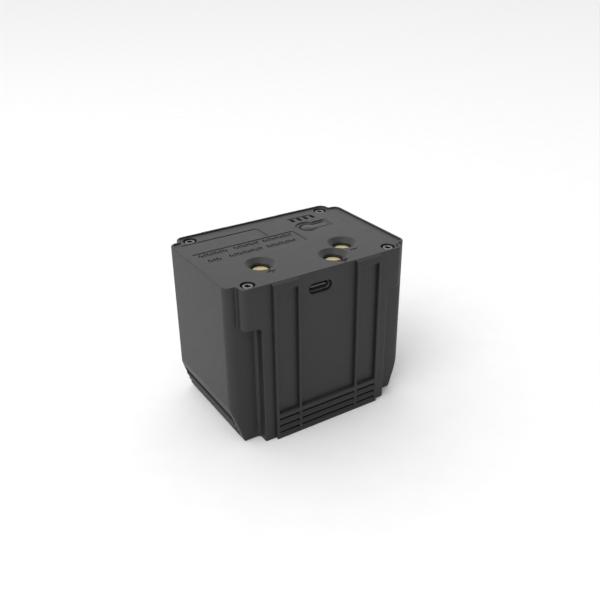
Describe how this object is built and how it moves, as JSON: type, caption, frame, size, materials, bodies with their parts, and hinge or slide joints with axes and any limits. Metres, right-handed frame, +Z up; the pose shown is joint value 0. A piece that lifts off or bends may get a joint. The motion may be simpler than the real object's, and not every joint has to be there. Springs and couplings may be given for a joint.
{
  "type": "motorcycle battery cartridge",
  "caption": "Compact plastic lithium battery cartridge with a screwed lid, funnelled contact wells, a flexing check button and a USB-C socket.",
  "frame": {"origin": "centre of the underside of the case", "axes": "+X along the case's length, -Y towards the face with the USB-C socket, +Z up through the lid"},
  "size_m": [0.076, 0.0566, 0.0635],
  "materials": {
    "case_plastic": "fine spark-textured charcoal moulding",
    "button_plastic": "satin charcoal moulding",
    "screw_steel": "blackened turned steel",
    "contact_brass": "turned and polished, thinly gold flashed",
    "seal_rubber": "soft black silicone",
    "cell_sleeve": "plain heat-shrunk sleeve over a steel can",
    "holder_plastic": "black moulding",
    "nickel": "rolled nickel strip",
    "lead_red": "silicone insulation",
    "lead_black": "silicone insulation",
    "lead_yellow": "silicone insulation",
    "foam": "closed-cell foam",
    "insulation": "pressed insulating sheet",
    "board_green": "glass-fibre board with solder mask",
    "socket_steel": "nickel-plated drawn steel",
    "chip_plastic": "black moulding compound",
    "light_guide": "frosted clear moulding",
    "lamp": "white light chip",
    "ferrite": "pressed ferrite"
  },
  "bodies": {
    "case": {"case_body": "case_plastic", "lid": "case_plastic", "switch_body": "chip_plastic", "lid_screw_front_left": "screw_steel", "lid_screw_front_right": "screw_steel", "lid_screw_back_left": "screw_steel", "lid_screw_back_right": "screw_steel", "threaded_insert_front_left": "contact_brass", "threaded_insert_front_right": "contact_brass", "threaded_insert_back_left": "contact_brass", "threaded_insert_back_right": "contact_brass", "lid_seal": "seal_rubber", "positive_contact": "contact_brass", "ground_contact": "contact_brass", "negative_contact": "contact_brass", "cell_lower_front": "cell_sleeve", "cell_lower_back": "cell_sleeve", "cell_upper_front": "cell_sleeve", "cell_upper_back": "cell_sleeve", "cell_holder_left": "holder_plastic", "cell_holder_right": "holder_plastic", "series_link": "nickel", "positive_link": "nickel", "negative_link": "nickel", "positive_lead": "lead_red", "negative_lead": "lead_black", "balance_lead": "lead_yellow", "base_pad": "foam", "front_pad": "foam", "back_pad": "foam", "insulation_sheet": "insulation", "circuit_board": "board_green", "usb_shell": "socket_steel", "usb_tongue": "chip_plastic", "light_guide": "light_guide", "light_chip_1": "lamp", "light_chip_2": "lamp", "light_chip_3": "lamp", "light_chip_4": "lamp", "charge_chip": "chip_plastic", "cell_guard_chip": "chip_plastic", "power_switch_chip": "chip_plastic", "power_coil": "ferrite"},
    "button": {"check_button": "button_plastic"},
    "plunger": {"switch_plunger": "button_plastic"}
  },
  "joints": [
    {"name": "button_press", "type": "hinge", "parent": "case", "child": "button", "pos_m": [0.024, 0.0104, 0.062], "axis": [0, -1, 0], "range_deg": [0, 3.4], "stiffness_Nm_per_rad": 0.28, "springref_deg": -0.57},
    {"name": "plunger_travel", "type": "slide", "parent": "case", "child": "plunger", "axis": [0, 0, -1], "range_m": [0, 0.0005]}
  ],
  "couplings": [
    {"joint": "plunger_travel", "follows": "button_press", "m_per_rad": 0.00825}
  ]
}
